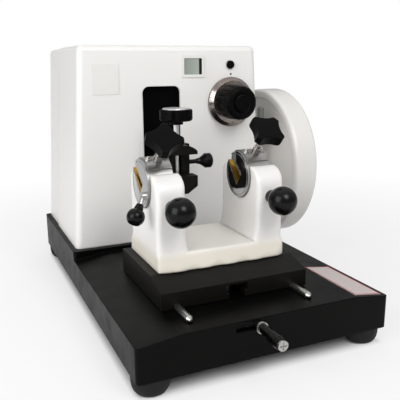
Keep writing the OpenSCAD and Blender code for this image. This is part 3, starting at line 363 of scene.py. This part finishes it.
def display_glass():
    """Display window: grey-green behind clear plastic, paler to the right, where a dark strip ends it."""
    palest_mm, strip_mm = 6, 5.2
    material, tree, bsdf, where, _ = start("display_window", 0.2, Roughness=0.18)
    low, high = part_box("display_window")
    x = add(tree, "ShaderNodeSeparateXYZ", links={"Vector": where}).outputs["X"]
    shade = between(tree, x, 0, 1, low.x, high.x - palest_mm * MM)
    glass = blend_colour(tree, shade, "#8b938a", "#a3aaa2")
    dark = add(tree, "ShaderNodeMath", {1: high.x - strip_mm * MM}, {0: x}, operation="GREATER_THAN").outputs[0]
    tree.links.new(blend_colour(tree, dark, glass, "#111211"), bsdf.inputs["Base Color"])
    return material


def pale_plastic():
    """Pale moulded plastic, round the display and on the blank badge."""
    material, tree, bsdf, where, _ = start("pale_abs", 0.4, Roughness=0.35)
    tree.links.new(blend_colour(tree, grain(tree, where, 10, 2), "#dfdeda", "#e5e4e1"), bsdf.inputs["Base Color"])
    return material


def plain_card():
    """Varnished card: pale pink-grey stock with a red line round its border, whose middle is middle_mm in from
    the edge."""
    middle_mm, half_line_mm = 0.9, 0.8
    material, tree, bsdf, where, _ = start("plain_card", 0.1, Roughness=0.3)
    stock = blend_colour(tree, grain(tree, where, 5, 3), "#c9bcba", "#d8ccc9")
    low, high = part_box("blank_card")
    split = add(tree, "ShaderNodeSeparateXYZ", links={"Vector": where})
    # how far each point is beyond the edge along X and Y, negative on the card
    beyond = []
    for axis in (0, 1):
        middle, half = (low[axis] + high[axis]) / 2, (high[axis] - low[axis]) / 2
        centred = add(tree, "ShaderNodeMath", {1: middle}, {0: split.outputs[axis]}, operation="SUBTRACT")
        size = add(tree, "ShaderNodeMath", links={0: centred.outputs[0]}, operation="ABSOLUTE")
        beyond.append(add(tree, "ShaderNodeMath", {1: half}, {0: size.outputs[0]}, operation="SUBTRACT").outputs[0])
    nearest = add(tree, "ShaderNodeMath", links={0: beyond[0], 1: beyond[1]}, operation="MAXIMUM").outputs[0]
    line = add(
        tree, "ShaderNodeMath", {1: -middle_mm * MM, 2: half_line_mm * MM}, {0: nearest}, operation="COMPARE"
    ).outputs[0]
    tree.links.new(blend_colour(tree, line, stock, "#a81f24"), bsdf.inputs["Base Color"])
    return material


def black_ink():
    """Black filler of the dial's marks."""
    material, tree, bsdf, where, _ = start("black_fill", 0.05, Roughness=0.5)
    tree.links.new(blend_colour(tree, grain(tree, where, 3, 2), "#0c0c0c", "#1a1a1a"), bsdf.inputs["Base Color"])
    return material


def green_laminate():
    """Circuit board laminate."""
    material, tree, bsdf, where, _ = start("green_laminate", 0.1, Roughness=0.4)
    tree.links.new(blend_colour(tree, grain(tree, where, 2, 2), "#1f4a2b", "#2a5a36"), bsdf.inputs["Base Color"])
    return material


FINISH_OF = {
    black_stove_enamel: ["base_casting"],
    black_blued_block: ["slide_block", "clamp_body", "clamp_jaw"],
    white_housing_paint: ["front_shell", "rear_cover"],
    white_casting_enamel: ["handwheel"],
    cream_tinted_enamel: ["knife_casting"],
    ground_steel: [
        "guide_rods", "t_bolt", "cover_screws", "guide_columns", "dial_shaft", "wheel_nut", "main_shaft",
        "handle_stem", "yoke_plate", "feed_screw", "pawl_arm", "gimbal_block",
        "tilt_lever", "plate_left", "plate_right", "lever_arm",
    ],
    brushed_steel: ["saddle_left", "saddle_right"],
    mirror_steel: ["stud_left", "stud_right"],
    satin_chrome: ["dial_ring"],
    drum_steel: ["drum_left", "drum_right"],
    bright_turned: ["clamp_screw"],
    dark_steel: ["crank_disc", "ram"],
    machined_brass: ["brass_left", "brass_right", "shaft_bushes", "ratchet_wheel"],
    black_phenolic: ["dial_knob", "dial_cap", "push_button", "clamp_star", "star_left", "star_right"],
    polished_phenolic: [
        "handle_grip", "clamp_lock_knob", "tilt_knob", "ball_knob_left", "ball_knob_right", "lever_grip",
    ],
    # the dust shield is a dark sheet that stands in for the shade inside the slot
    matt_black_paint: ["dust_shield"],
    moulded_rubber: ["rubber_feet"],
    grey_primer: ["machine_frame", "carriage"],
    hammered_grey: ["wheel_lock_lever"],
    display_glass: ["display_window"],
    pale_plastic: ["display_frame", "blank_badge"],
    plain_card: ["blank_card"],
    green_laminate: ["control_board"],
}


# ---------------------------------------------------------------- meshes


def mesh_piece(name, vertices, faces, material, body, smooth=True):
    """A mesh object in the frame's metres, with a material and a slot, riding on a body."""
    mesh = bpy.data.meshes.new(name)
    mesh.from_pydata(np.asarray(vertices, float).tolist(), [], faces)
    mesh.update()
    if smooth:
        mesh.polygons.foreach_set("use_smooth", np.ones(len(mesh.polygons), bool))
    piece = bpy.data.objects.new(name, mesh)
    bpy.context.scene.collection.objects.link(piece)
    mesh.materials.append(material)
    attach(piece, body)
    return piece


def ring_faces(rings, points):
    """Quads between successive rings of points, with one face over each end ring."""
    index = np.arange(rings * points).reshape(rings, points)
    after = np.roll(index, -1, axis=1)
    side = np.stack([index[:-1], after[:-1], after[1:], index[1:]], -1).reshape(-1, 4)
    return side.tolist() + [index[0][::-1].tolist(), index[-1].tolist()]


def to_frame(points_mm):
    """Points in millimetres from the datum corner, as an array in the frame's metres."""
    return np.array(DATUM) + np.asarray(points_mm, float) * MM


def smooth_step(t):
    """3 t^2 - 2 t^3, held at 0 below 0 and at 1 above 1."""
    t = np.clip(t, 0, 1)
    return t * t * (3 - 2 * t)


def dress(material, names):
    """Puts one material on CAD nodes."""
    for name in names:
        slots = NODES[name].data.materials
        slots.clear()
        slots.append(material)


def applied(piece):
    """Applies a piece's modifiers and returns its vertices as an array."""
    depsgraph = bpy.context.evaluated_depsgraph_get()
    mesh = bpy.data.meshes.new_from_object(piece.evaluated_get(depsgraph))
    piece.modifiers.clear()
    piece.data = mesh
    points = np.empty(len(mesh.vertices) * 3)
    mesh.vertices.foreach_get("co", points)
    return points.reshape(-1, 3)


# ---------------------------------------------------------------- pieces


def casting_skin(material):
    """The knife casting with the soft edges of sand casting: the solid is remeshed into even cells and smoothed.
    The inner sides of its pillars are flared, from skirt_mm below the bay's floor upwards, by
    flare_mm exp(-(d / near_mm)^2) exp(-h / fade_mm) s(h / start_mm + start_share), where d is the distance
    from the side, h the height above the floor and s smooth_step()."""
    cell_mm, pillar_mm, floor_mm, skirt_mm = 1.25, 34, 20, 1
    flare_mm, near_mm, fade_mm, start_mm, start_share = 4.5, 5, 9, 2, 0.3
    piece = bpy.data.objects.new("casting_skin", NODES["knife_casting"].data.copy())
    bpy.context.scene.collection.objects.link(piece)
    remesh = piece.modifiers.new("cells", "REMESH")
    remesh.mode = "VOXEL"
    remesh.voxel_size = cell_mm * MM
    remesh.use_smooth_shade = True
    soften = piece.modifiers.new("soften", "SMOOTH")
    soften.factor = 0.5
    soften.iterations = 9
    points = applied(piece)
    low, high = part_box("knife_casting")
    middle = (low.x + high.x) / 2
    across = points[:, 0] - middle
    inner = (high.x - low.x) / 2 - pillar_mm * MM
    floor = low.z + floor_mm * MM
    height = np.maximum(points[:, 2] - floor, 0)
    near = np.exp(-(((np.abs(across) - inner) / (near_mm * MM)) ** 2)) * (points[:, 2] > floor - skirt_mm * MM)
    fade = np.exp(-height / (fade_mm * MM))
    begin = smooth_step(height / (start_mm * MM) + start_share)
    points[:, 0] -= np.sign(across) * near * flare_mm * MM * fade * begin
    piece.data.vertices.foreach_set("co", points.ravel())
    piece.data.update()
    piece.data.materials.clear()
    piece.data.materials.append(material)
    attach(piece, "knife_base")
    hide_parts("knife_casting")
    return piece


def fluted_knob(material):
    """The dial's knob. Its radius at angle a and depth t from the ring is r(t) - d(t) f(a): r is the profile below,
    d the depth of the flutes and f = max(0, cos(16 a))^6 their section."""
    low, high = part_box("dial_knob")
    centre = np.array([(low.x + high.x) / 2, (low.z + high.z) / 2])
    flutes, points = 16, 384
    # distance in front of the ring, radius and depth of the flutes, in mm
    profile = np.array([
        (0, 6, 0), (0, 23.2, 0), (0.5, 23.8, 0), (1.2, 24, 0.4), (3, 24.1, 1.2), (10, 24, 1.4), (16, 23.8, 1.4),
        (19.4, 23.5, 1.3), (20.4, 23, 0.7), (20.9, 22.7, 0.1), (21.3, 22.8, 0), (21.9, 23.3, 0), (23, 23.7, 0.25),
        (25, 23.6, 0.4), (26.8, 22.9, 0.35), (28.2, 21.6, 0.2), (29.2, 19.8, 0), (29.8, 17.6, 0), (29.9, 15, 0),
        (29.6, 13.4, 0), (28.7, 12.6, 0), (28.6, 6, 0),
    ])
    angle = np.linspace(0, 2 * np.pi, points, endpoint=False)
    flute = np.maximum(0, np.cos(flutes * angle)) ** 6
    radius = profile[:, 1:2] - profile[:, 2:3] * flute
    x = centre[0] + radius * np.cos(angle) * MM
    z = centre[1] + radius * np.sin(angle) * MM
    y = np.broadcast_to(high.y - profile[:, :1] * MM, x.shape)
    vertices = np.stack([x, y, z], -1).reshape(-1, 3)
    piece = mesh_piece("fluted_knob", vertices, ring_faces(len(profile), points), material, "dial")
    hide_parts("dial_knob")
    return piece


def ring_point(radius_mm, angle):
    """A point in front of the dial ring's face, proud_mm clear of it, at an angle clockwise from the top. The
    face is flat, with a 45 degree cone over its last slope_mm."""
    low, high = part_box("dial_ring")
    rim_mm, slope_mm, proud_mm = (high.x - low.x) / 2 / MM, 5, 0.06
    depth = np.where(radius_mm > rim_mm - slope_mm, radius_mm - (rim_mm - slope_mm), 0) - proud_mm
    x = (low.x + high.x) / 2 + radius_mm * np.sin(angle) * MM
    z = (low.z + high.z) / 2 + radius_mm * np.cos(angle) * MM
    return np.stack([x, low.y + depth * MM, z], -1)


def dial_scale(material):
    """Graduations on the ring: a line at each of 60 steps, longer at every fifth, and plain numbers inside them.
    All are single faces without thickness, and the lines' faces point into the ring."""
    steps, every = 60, 5
    outer_mm, long_mm, short_mm, half_mm = 34.7, 31.6, 33.1, 0.34
    number_mm, digit_mm = 28.8, 3.6
    angle = np.arange(steps) * 2 * np.pi / steps
    outer, inner = np.full(steps, outer_mm), np.where(np.arange(steps) % every == 0, long_mm, short_mm)
    corners = [
        ring_point(r, angle + side * half_mm / r) for r, side in ((outer, -1), (outer, 1), (inner, 1), (inner, -1))
    ]
    vertices = [np.stack(corners, 1).reshape(-1, 3)]
    faces = np.arange(4 * steps).reshape(-1, 4).tolist()
    for number in range(0, steps, every):
        flat, outline = number_mesh(str(number), digit_mm)
        turned = 2 * np.pi * number / steps + flat[:, 0] / number_mm
        first = sum(len(v) for v in vertices)
        vertices.append(ring_point(number_mm + flat[:, 1], turned))
        faces += [[first + i for i in face] for face in outline]
    return mesh_piece("dial_scale", np.concatenate(vertices), faces, material, "dial", smooth=False)


def number_mesh(digits, size_mm):
    """A number as a flat mesh centred on the origin: its points in mm and its faces."""
    curve = bpy.data.curves.new("digits", "FONT")
    curve.body = digits
    curve.size = size_mm
    curve.align_x = curve.align_y = "CENTER"
    curve.resolution_u = 3
    text = bpy.data.objects.new("digits", curve)
    mesh = bpy.data.meshes.new_from_object(text)
    points = np.empty(len(mesh.vertices) * 3)
    mesh.vertices.foreach_get("co", points)
    faces = [list(face.vertices) for face in mesh.polygons]
    for block, store in ((text, bpy.data.objects), (curve, bpy.data.curves), (mesh, bpy.data.meshes)):
        store.remove(block)
    return points.reshape(-1, 3)[:, :2], faces


def disc(name, centre_mm, radius_mm, rise_mm, material, body):
    """A thin domed disc that faces the front, with its foot at centre_mm."""
    x, y, z = centre_mm
    angle = np.linspace(0, 2 * np.pi, 32, endpoint=False)
    rings = [(radius_mm, 0), (radius_mm, rise_mm * 0.4), (radius_mm * 0.85, rise_mm * 0.8), (radius_mm * 0.4, rise_mm)]
    points = [(x + r * math.cos(a), y - rise, z + r * math.sin(a)) for r, rise in rings for a in angle]
    return mesh_piece(name, to_frame(points), ring_faces(len(rings), len(angle)), material, body)


def saddle_screws(material):
    """Polished heads of the two screws on each saddle: short cylinders under domes, whose feet are rim_mm from
    the drum's axis, screw_deg from the top towards the front. They stand apart_mm on either side of the stud."""
    screw_deg, apart_mm, stud_mm, rim_mm = 20, 10, 17, 29.3
    head_mm, wall_mm, tip_mm, points = 3.1, 1.2, 0.01, 24
    polar = np.radians([0, 12, 25, 38, 50, 62, 75, 90])
    angle = np.linspace(0, 2 * np.pi, points, endpoint=False)
    height = np.concatenate([[0], wall_mm + head_mm * np.cos(polar[::-1])])
    radius = np.concatenate([[head_mm], head_mm * np.sin(polar[::-1]) + tip_mm])
    x, y = radius[:, None] * np.cos(angle), radius[:, None] * np.sin(angle)
    dome = np.stack([x, y, np.broadcast_to(height[:, None], x.shape)], -1).reshape(-1, 3)
    lean = math.radians(screw_deg)
    pieces = []
    for side in ("left", "right"):
        low, high = (np.array(corner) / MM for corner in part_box(f"drum_{side}"))
        stud_x = low[0] + stud_mm
        axis_y, axis_z = (low[1] + high[1]) / 2, (low[2] + high[2]) / 2
        heads = []
        for shift in (-apart_mm, apart_mm):
            out = rim_mm + dome[:, 2]
            y = axis_y + dome[:, 1] * math.cos(lean) - out * math.sin(lean)
            z = axis_z + dome[:, 1] * math.sin(lean) + out * math.cos(lean)
            heads.append(np.stack([stud_x + shift + dome[:, 0], y, z], -1))
        faces = ring_faces(len(height), points)
        faces += [[len(dome) + i for i in f] for f in faces]
        pieces.append(
            mesh_piece(f"saddle_screws_{side}", np.concatenate(heads) * MM, faces, material, f"{side}_drum")
        )
    return pieces


def cast_feet(material):
    """Four feet as lobes that flare into the corners of the casting. At height h and angle a the radius is
    r(h) + f(h) max(0, cos(a - b))^0.7, where b points from the corner to the middle of the base."""
    profile = np.array([
        (0, 9, 0), (0, 12, 0), (0.6, 14, 0), (2, 16, 0), (4.5, 17.8, 0.4), (8, 19.2, 1.2), (12, 19.8, 2.6),
        (15, 20, 4.6), (17.5, 20, 8), (19, 20, 12), (19.9, 20, 16), (20, 10, 0),
    ])
    corner_mm, points = 20.5, 96
    size = (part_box("base_casting")[1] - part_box("base_casting")[0]) / MM
    angle = np.linspace(0, 2 * np.pi, points, endpoint=False)
    vertices, faces = [], []
    for x, y in ((0, 0), (1, 0), (1, 1), (0, 1)):
        inward = math.atan2(1 - 2 * y, 1 - 2 * x)
        spread = np.maximum(0, np.cos(angle - inward)) ** 0.7
        radius = profile[:, 1:2] + profile[:, 2:3] * spread
        centre = (corner_mm if x == 0 else size.x - corner_mm, corner_mm if y == 0 else size.y - corner_mm)
        height = np.broadcast_to(profile[:, :1], radius.shape)
        lobe = np.stack([centre[0] + radius * np.cos(angle), centre[1] + radius * np.sin(angle), height], -1)
        faces += [[len(vertices) * len(profile) * points + i for i in f] for f in ring_faces(len(profile), points)]
        vertices.append(lobe.reshape(-1, 3))
    piece = mesh_piece("cast_feet", to_frame(np.concatenate(vertices)), faces, material, "frame")
    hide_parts("rubber_feet")
    return piece


# ---------------------------------------------------------------- operators


class MICROTOME_PG_stage(bpy.types.PropertyGroup):
    """Settings of the camera and the floor."""

    camera_mm: FloatVectorProperty(
        name="Camera", description="Camera position from the datum corner, in mm", default=(-137.8, -460.2, 315.1)
    )
    turn: FloatProperty(
        name="Turn", description="Camera turned right of +Y", default=math.radians(23.96), subtype="ANGLE"
    )
    tilt: FloatProperty(name="Tilt", description="Camera tilted down", default=math.radians(13.49), subtype="ANGLE")
    roll: FloatProperty(
        name="Roll", description="Camera rolled about its view", default=math.radians(-0.434), subtype="ANGLE"
    )
    lens_mm: FloatProperty(name="Lens", description="Focal length on a 36 mm frame", default=50.85)
    floor_colour: FloatVectorProperty(
        name="Floor", description="Colour of the floor", default=linear("#f2f2f2")[:3], subtype="COLOR", min=0, max=1
    )


class MICROTOME_OT_stage(bpy.types.Operator):
    """Floor, light and camera"""

    bl_idname = "microtome.stage"
    bl_label = "Stage"

    def execute(self, context):
        settings = context.scene.microtome_stage
        self.add_camera(context, settings)
        self.add_light(context)
        self.add_floor(context, settings)
        context.scene.view_settings.view_transform = "Standard"
        return {"FINISHED"}

    def add_camera(self, context, settings):
        """The camera looks along +Y turned right by turn and down by tilt, then rolled."""
        data = bpy.data.cameras.new("camera")
        data.lens = settings.lens_mm
        data.sensor_width = 36
        data.clip_end = 20
        camera = bpy.data.objects.new("camera", data)
        context.scene.collection.objects.link(camera)
        turn, tilt, roll = settings.turn, settings.tilt, settings.roll
        forward = Vector((math.sin(turn) * math.cos(tilt), math.cos(turn) * math.cos(tilt), -math.sin(tilt)))
        right = Vector((math.cos(turn), -math.sin(turn), 0))
        up = right.cross(forward)
        rolled_right = right * math.cos(roll) + up * math.sin(roll)
        rolled_up = up * math.cos(roll) - right * math.sin(roll)
        turned = Matrix((rolled_right, rolled_up, -forward)).transposed()
        camera.matrix_world = Matrix.Translation(place(*settings.camera_mm)) @ turned.to_4x4()
        context.scene.camera = camera

    def add_light(self, context):
        """Soft boxes at the front, the left and overhead, in a white room. Mirrors show the room darker near the
        horizon."""
        aim = Vector((0, 0.05, 0.15))
        # name, place in metres, side in metres, watts
        for name, where, size, power in (
            ("key", (0.1, -1.8, 1.75), 1.0, 24),
            ("left", (-2.1, -0.8, 1.0), 1.6, 29),
            ("top", (-0.2, 0.5, 2.4), 1.8, 4),
        ):
            data = bpy.data.lights.new(name, "AREA")
            data.shape = "SQUARE"
            data.size = size
            data.energy = power
            lamp = bpy.data.objects.new(name, data)
            context.scene.collection.objects.link(lamp)
            lamp.location = where
            lamp.rotation_euler = (aim - Vector(where)).to_track_quat("-Z", "Y").to_euler()
        world = bpy.data.worlds.new("room")
        context.scene.world = world
        world.use_nodes = True
        tree = world.node_tree
        tree.nodes.clear()
        ray = add(tree, "ShaderNodeLightPath")
        direction = add(tree, "ShaderNodeTexCoord").outputs["Generated"]
        height = add(tree, "ShaderNodeSeparateXYZ", links={"Vector": direction}).outputs["Z"]
        glow = between(tree, height, 0.3, 0.85, 0.15, 0.9)
        mirrored = add(tree, "ShaderNodeBackground", {"Color": linear("#ffffff")}, {"Strength": glow})
        room = add(tree, "ShaderNodeBackground", {"Color": linear("#ffffff"), "Strength": 0.45})
        white = add(tree, "ShaderNodeBackground", {"Color": linear("#ffffff"), "Strength": 1.0})
        shader = room
        for kind, seen in (("Is Glossy Ray", mirrored), ("Is Camera Ray", white)):
            links = {0: ray.outputs[kind], 1: shader.outputs[0], 2: seen.outputs[0]}
            shader = add(tree, "ShaderNodeMixShader", links=links)
        add(tree, "ShaderNodeOutputWorld", links={"Surface": shader.outputs[0]})

    def add_floor(self, context, settings):
        """A round floor that fades into the white room away from the instrument, and is dark beneath it."""
        radius_m, points = 6, 96
        near_m, far_m = 0.3, 0.95
        material = bpy.data.materials.new("floor")
        material.use_nodes = True
        tree = material.node_tree
        tree.nodes.clear()
        where = add(tree, "ShaderNodeTexCoord").outputs["Object"]
        away = add(tree, "ShaderNodeVectorMath", links={0: where}, operation="LENGTH").outputs["Value"]
        fade = between(tree, away, 0.62, 1, near_m, far_m)
        # the share of the way from the base's middle to its sides, 1 at the sides
        low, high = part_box("base_casting")
        offset = add(tree, "ShaderNodeVectorMath", {1: (low + high) / 2}, {0: where}, operation="SUBTRACT").outputs[0]
        share = add(tree, "ShaderNodeVectorMath", {1: (high - low) / 2}, {0: offset}, operation="DIVIDE").outputs[0]
        size = add(tree, "ShaderNodeVectorMath", links={0: share}, operation="ABSOLUTE").outputs[0]
        sides = add(tree, "ShaderNodeSeparateXYZ", links={"Vector": size})
        reach = add(tree, "ShaderNodeMath", links={0: sides.outputs["X"], 1: sides.outputs["Y"]}, operation="MAXIMUM")
        beside = between(tree, reach.outputs[0], 0, 1, 0.95, 1.0)
        fade = add(tree, "ShaderNodeMath", links={0: fade, 1: beside}, operation="MULTIPLY").outputs[0]
        ray = add(tree, "ShaderNodeLightPath")
        factor = add(tree, "ShaderNodeMath", links={0: fade, 1: ray.outputs["Is Camera Ray"]}, operation="MULTIPLY")
        matt = add(tree, "ShaderNodeBsdfDiffuse", {"Color": (*settings.floor_colour, 1)})
        white = add(tree, "ShaderNodeEmission", {"Color": linear("#ffffff"), "Strength": 1.0})
        mixed = add(tree, "ShaderNodeMixShader", links={0: factor.outputs[0], 1: matt.outputs[0], 2: white.outputs[0]})
        add(tree, "ShaderNodeOutputMaterial", links={"Surface": mixed.outputs[0]})
        angle = np.linspace(0, 2 * np.pi, points, endpoint=False)
        rim = np.stack([radius_m * np.cos(angle), radius_m * np.sin(angle), np.zeros(points)], 1)
        mesh = bpy.data.meshes.new("floor")
        mesh.from_pydata(rim.tolist(), [], [list(range(points))])
        mesh.materials.append(material)
        floor = bpy.data.objects.new("floor", mesh)
        context.scene.collection.objects.link(floor)


class MICROTOME_OT_finishes(bpy.types.Operator):
    """A finish for every CAD node"""

    bl_idname = "microtome.finishes"
    bl_label = "Finishes"

    def execute(self, context):
        for make, names in FINISH_OF.items():
            dress(make(), names)
        bare = set(NODES) - {n for names in FINISH_OF.values() for n in names}
        if bare:
            raise RuntimeError(f"nodes without a finish: {sorted(bare)}")
        return {"FINISHED"}


class MICROTOME_OT_casting(bpy.types.Operator):
    """Soft-edged skin of the knife casting"""

    bl_idname = "microtome.casting"
    bl_label = "Casting"

    def execute(self, context):
        casting_skin(cream_tinted_enamel())
        return {"FINISHED"}


class MICROTOME_OT_dial(bpy.types.Operator):
    """Knob, graduations and index of the dial"""

    bl_idname = "microtome.dial"
    bl_label = "Dial"

    def execute(self, context):
        fluted_knob(black_phenolic())
        ink = black_ink()
        dial_scale(ink)
        index_mm, radius_mm, rise_mm = (240.3, 279, 301.5), 1.5, 0.3
        disc("dial_index", index_mm, radius_mm, rise_mm, ink, "frame")
        return {"FINISHED"}


class MICROTOME_OT_screws(bpy.types.Operator):
    """Heads of the saddles' screws"""

    bl_idname = "microtome.screws"
    bl_label = "Screws"

    def execute(self, context):
        saddle_screws(mirror_steel())
        return {"FINISHED"}


class MICROTOME_OT_feet(bpy.types.Operator):
    """Feet that flare into the base"""

    bl_idname = "microtome.feet"
    bl_label = "Feet"

    def execute(self, context):
        cast_feet(moulded_rubber())
        return {"FINISHED"}


class MICROTOME_PT_panel(bpy.types.Panel):
    """Lists the microtome's operators."""

    bl_idname = "MICROTOME_PT_panel"
    bl_label = "Microtome"
    bl_space_type = "VIEW_3D"
    bl_region_type = "UI"
    bl_category = "Microtome"

    def draw(self, context):
        for name in OPERATORS:
            self.layout.operator(f"microtome.{name}")


OPERATORS = ("stage", "finishes", "casting", "dial", "screws", "feet")
CLASSES = (
    MICROTOME_PG_stage, MICROTOME_OT_stage, MICROTOME_OT_finishes, MICROTOME_OT_casting, MICROTOME_OT_dial,
    MICROTOME_OT_screws, MICROTOME_OT_feet, MICROTOME_PT_panel,
)


def register():
    """Registers the classes and the stage's settings."""
    for cls in CLASSES:
        bpy.utils.register_class(cls)
    bpy.types.Scene.microtome_stage = PointerProperty(type=MICROTOME_PG_stage)


def unregister():
    """Takes the settings and the classes away again."""
    del bpy.types.Scene.microtome_stage
    for cls in reversed(CLASSES):
        bpy.utils.unregister_class(cls)


def main():
    register()
    for name in OPERATORS:
        getattr(bpy.ops.microtome, name)()


if __name__ == "__main__":
    main()
